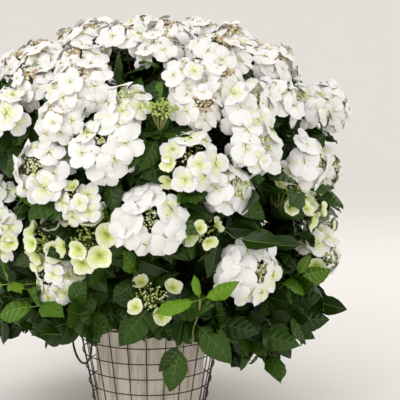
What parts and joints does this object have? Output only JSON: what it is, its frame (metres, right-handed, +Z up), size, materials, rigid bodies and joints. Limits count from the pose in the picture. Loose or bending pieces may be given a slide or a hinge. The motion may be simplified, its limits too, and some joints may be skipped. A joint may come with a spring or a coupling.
{
  "type": "potted lacecap hydrangea in a wire basket",
  "caption": "Full, round flowering shrub with lacy white heads and dark leaves, in a tapered pot that stands in an open wire basket with two hinged drop handles.",
  "frame": {"origin": "middle of the basket's flat underside, on the floor", "axes": "+Z up along the pot's axis, X through the two drop handles"},
  "size_m": [0.8621, 0.8961, 0.8738],
  "materials": {
    "wire": "satin",
    "pot": "matte",
    "soil": "matte",
    "bark": "matte",
    "foliage": "satin"
  },
  "bodies": {
    "planter": {"pot": "pot", "soil": "soil", "basket_frame": "wire", "basket_base": "wire", "basket_ring_1": "wire", "basket_ring_2": "wire", "basket_ring_3": "wire", "basket_ring_4": "wire", "basket_ring_5": "wire", "cane_top": "bark", "foliage_top": "foliage", "cane_upper_1": "bark", "foliage_upper_1": "foliage", "cane_upper_2": "bark", "foliage_upper_2": "foliage", "cane_upper_3": "bark", "foliage_upper_3": "foliage", "cane_upper_4": "bark", "foliage_upper_4": "foliage", "cane_upper_5": "bark", "foliage_upper_5": "foliage", "cane_middle_1": "bark", "foliage_middle_1": "foliage", "cane_middle_2": "bark", "foliage_middle_2": "foliage", "cane_middle_3": "bark", "foliage_middle_3": "foliage", "cane_middle_4": "bark", "foliage_middle_4": "foliage", "cane_middle_5": "bark", "foliage_middle_5": "foliage", "cane_middle_6": "bark", "foliage_middle_6": "foliage", "cane_lower_1": "bark", "foliage_lower_1": "foliage", "cane_lower_2": "bark", "foliage_lower_2": "foliage", "cane_lower_3": "bark", "foliage_lower_3": "foliage", "cane_lower_4": "bark", "foliage_lower_4": "foliage", "cane_lower_5": "bark", "foliage_lower_5": "foliage", "cane_lower_6": "bark", "foliage_lower_6": "foliage", "cane_lower_7": "bark", "foliage_lower_7": "foliage", "cane_lower_8": "bark", "foliage_lower_8": "foliage"},
    "handle_right": {"handle_right": "wire"},
    "handle_left": {"handle_left": "wire"}
  },
  "joints": [
    {"name": "right_handle_hinge", "type": "hinge", "parent": "planter", "child": "handle_right", "pos_m": [0.15177, 0, 0.2115], "axis": [0, -1, 0], "range_deg": [0, 90]},
    {"name": "left_handle_hinge", "type": "hinge", "parent": "planter", "child": "handle_left", "pos_m": [-0.15177, 0, 0.2115], "axis": [0, 1, 0], "range_deg": [0, 90]}
  ]
}
